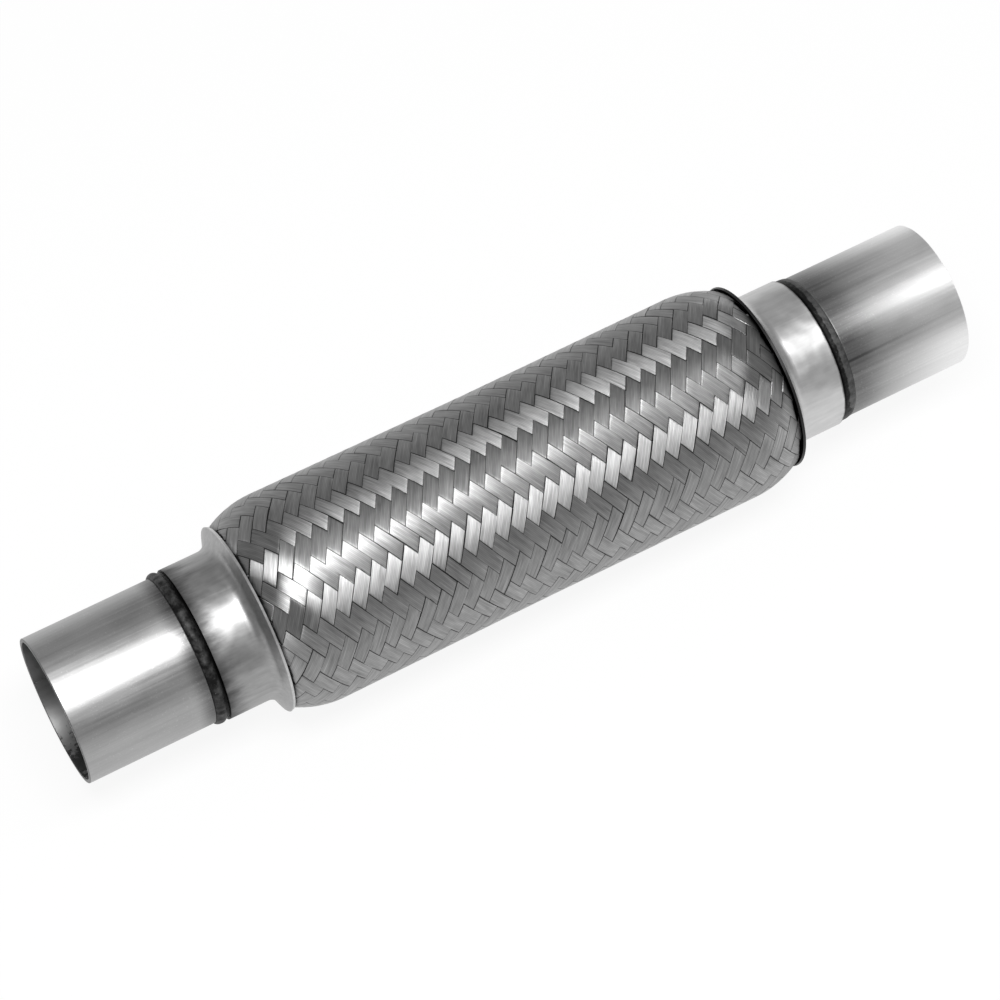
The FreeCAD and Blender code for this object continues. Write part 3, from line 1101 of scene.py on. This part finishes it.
@dataclass
class InterlockLiner:
    """Inner hose, wound from a folded strip whose turns hook into each other.

    The groove's half width and its flank are shares of the strip's pitch.
    """

    strip_pitch: float = 5.0 * MM
    groove: float = 0.9 * MM
    groove_half: float = 0.32
    groove_flank: float = 0.08
    groove_fade: float = 3.0 * MM
    body_inset: float = 30.0 * MM
    body_wall: float = 1.6 * MM
    cuff_wall: float = 0.3 * MM
    cone: float = 4.0 * MM
    angles: int = 96
    turn_points: int = 8

    def mesh(self) -> bpy.types.Mesh:
        """Return the hose's mesh, grooved inside and plain outside."""
        low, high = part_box("liner")
        outer = high[2]
        bore = outer - self.body_wall
        cuff = bore + self.cuff_wall
        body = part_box("bellows")[1][0] - self.body_inset
        x = np.append(np.arange(low[0], high[0], self.strip_pitch / self.turn_points), high[0])
        turn = np.linspace(0.0, 1.0, self.angles, endpoint=False)[:, None]
        phase = np.mod(x[None, :] / self.strip_pitch - turn, 1.0)
        dip = np.clip((self.groove_half - np.abs(phase - 0.5)) / self.groove_flank, 0.0, 1.0)
        fade = np.clip((body - np.abs(x[None, :])) / self.groove_fade, 0.0, 1.0)
        inner = bore + self.groove * dip * fade
        shell_x = np.array([high[0], body + self.cone, body, -body, -body - self.cone, low[0]])
        shell_radius = np.array([cuff, cuff, outer, outer, cuff, cuff])
        shell = np.broadcast_to(shell_radius, (self.angles, shell_radius.size))
        stations = np.concatenate([x, shell_x])
        stations = np.broadcast_to(stations, (self.angles, stations.size))
        return lathe_mesh("interlock_liner", stations, np.hstack([inner, shell]))

    def build(self) -> None:
        """Place the wound hose instead of the smooth one."""
        finish = PlainFinish(
            "liner_strip", tone=0.42, spread=0.2, roughness=0.4, grain=300.0, relief=0.03 * MM
        )
        piece = put("interlock_liner", self.mesh(), finish.material())
        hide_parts("liner")


@dataclass(frozen=True)
class Softbox:
    """Soft lamp that hangs over the pipe and faces its middle."""

    name: str
    way: tuple[float, float, float]
    size: tuple[float, float]
    radiance: float
    distance: float = 1.2

    def build(self) -> None:
        """Hang the lamp, with its first side along X."""
        data = bpy.data.lights.new(self.name, "AREA")
        data.shape = "RECTANGLE"
        data.size, data.size_y = self.size
        data.energy = self.radiance * math.pi * self.size[0] * self.size[1]
        lamp = bpy.data.objects.new(self.name, data)
        back = Vector(self.way).normalized()
        right = Vector((1.0, 0.0, 0.0))
        right = (right - back * right.dot(back)).normalized()
        turn = Matrix((right, back.cross(right), back)).transposed().to_4x4()
        lamp.matrix_world = Matrix.Translation(back * self.distance) @ turn
        bpy.context.scene.collection.objects.link(lamp)


@dataclass
class Studio:
    """Pale floor, two soft lamps overhead and the camera of the photograph.

    The floor shows white to the camera and in reflections, by white_share, and keeps the
    pipe's shadow in the rest.
    """

    azimuth: float = -28.85
    elevation: float = 60.15
    lens: float = 129.6
    sensor: float = 36.0
    clip_start: float = 10.0 * MM
    distance: float = 1102.2 * MM
    aim_right: float = -1.76 * MM
    aim_up: float = -1.25 * MM
    floor_size: float = 8.0
    floor_tone: float = 0.95
    floor_roughness: float = 0.9
    white_share: float = 0.9
    sky_tone: float = 0.35
    lamps: tuple[Softbox, ...] = (
        Softbox("main_softbox", way=(-0.10, -0.21, 0.973), size=(0.65, 0.36), radiance=15.0),
        Softbox("side_softbox", way=(0.40, -0.20, 0.90), size=(0.5, 0.25), radiance=3.5),
    )

    def floor(self) -> None:
        """Lay the floor under the pipe's lowest point."""
        g = Graph("floor_white")
        g.surface.inputs["Base Color"].default_value = (self.floor_tone,) * 3 + (1.0,)
        g.surface.inputs["Roughness"].default_value = self.floor_roughness
        path = g.node("LightPath")
        seen = g.math("MAXIMUM", path.outputs["Is Camera Ray"], path.outputs["Is Glossy Ray"])
        seen = g.math("MAXIMUM", seen, path.outputs["Is Transmission Ray"])
        glow = g.node("Emission", {"Color": (1.0, 1.0, 1.0, 1.0), "Strength": 1.0})
        share = g.math("MULTIPLY", seen, self.white_share)
        mixed = g.node("MixShader", {0: share, 1: g.surface.outputs[0], 2: glow.outputs[0]})
        g.feed(g.output.inputs["Surface"], mixed.outputs[0])
        half = self.floor_size / 2
        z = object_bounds()[0][2]
        mesh = bpy.data.meshes.new("floor")
        corners = [(-half, -half, z), (half, -half, z), (half, half, z), (-half, half, z)]
        mesh.from_pydata(corners, [], [(0, 1, 2, 3)])
        mesh.materials.append(g.material)
        floor = bpy.data.objects.new("floor", mesh)
        bpy.context.scene.collection.objects.link(floor)
        floor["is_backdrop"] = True

    def sky(self) -> None:
        """Set the even light of the room."""
        world = bpy.data.worlds.new("room")
        bpy.context.scene.world = world
        world.use_nodes = True
        background = world.node_tree.nodes["Background"]
        background.inputs["Color"].default_value = (self.sky_tone,) * 3 + (1.0,)

    def camera(self) -> None:
        """Set the camera where the photograph was taken from."""
        data = bpy.data.cameras.new("camera")
        data.lens = self.lens
        data.sensor_width = self.sensor
        data.clip_start = self.clip_start
        camera = bpy.data.objects.new("camera", data)
        azimuth, elevation = math.radians(self.azimuth), math.radians(self.elevation)
        back = Vector((math.sin(azimuth), -math.cos(azimuth), 0.0)) * math.cos(elevation)
        back.z = math.sin(elevation)
        right = Vector((math.cos(azimuth), math.sin(azimuth), 0.0))
        up = back.cross(right)
        spot = back * self.distance + right * self.aim_right + up * self.aim_up
        turn = Matrix((right, up, back)).transposed().to_4x4()
        camera.matrix_world = Matrix.Translation(spot) @ turn
        bpy.context.scene.collection.objects.link(camera)
        bpy.context.scene.camera = camera

    def build(self) -> None:
        """Make the floor, the light and the camera."""
        self.floor()
        self.sky()
        self.camera()
        for lamp in self.lamps:
            lamp.build()
        bpy.context.scene.view_settings.view_transform = "Standard"
        LOG.info("studio: ready")


def inlet_fittings() -> EndFittings:
    """Return the near end: a dark crusted weld that has stained the collar."""
    end = End.INLET
    return EndFittings(
        tube=TubeFinish(end, seam_angle=127.0, heat=-0.24, heat_length=6.0 * MM),
        # Painted highlight along the collar's lip edge.
        collar=CollarFinish(end, lip_shade_and_highlight=-0.6),
        weld=WeldBead(end, BeadFinish(end)),
    )


def outlet_fittings() -> EndFittings:
    """Return the far end: a low, even weld and a tube paled by painted light towards its mouth."""
    end = End.OUTLET
    oxide = BeadFinish(end, tone=0.02, toe_tone=0.1, crevice_shade=1.4 * MM, dark_length=2.4 * MM)
    return EndFittings(
        tube=TubeFinish(end, tone=0.28, painted_light_end_tone=0.88, seam_depth=-0.07, rim_painted_shade=0.0),
        # Painted light: the far collar's tone is raised above the near collar's, so that it shows
        # brighter lit.
        collar=CollarFinish(
            # Painted shade across the lip, for the shadowed inside of its flare.
            end, tone=0.62, stain_length=0.5 * MM, lip_x=89.25 * MM, lip_shade_and_highlight=0.93
        ),
        weld=WeldBead(
            end, oxide, crown_height=0.5 * MM, crown_share=0.1, lump_height=0.02 * MM
        ),
    )


def main() -> None:
    """Dress the pipe and set up its studio."""
    logging.basicConfig(level=logging.INFO, format="%(name)s %(message)s")
    WovenBraid().build()
    inlet_fittings().build()
    outlet_fittings().build()
    InterlockLiner().build()
    bellows = PlainFinish(
        "bellows_steel", tone=0.3, spread=0.15, roughness=0.35, grain=200.0, relief=0.02 * MM
    )
    dress("bellows", bellows.material())
    Studio().build()


if __name__ == "__main__":
    main()
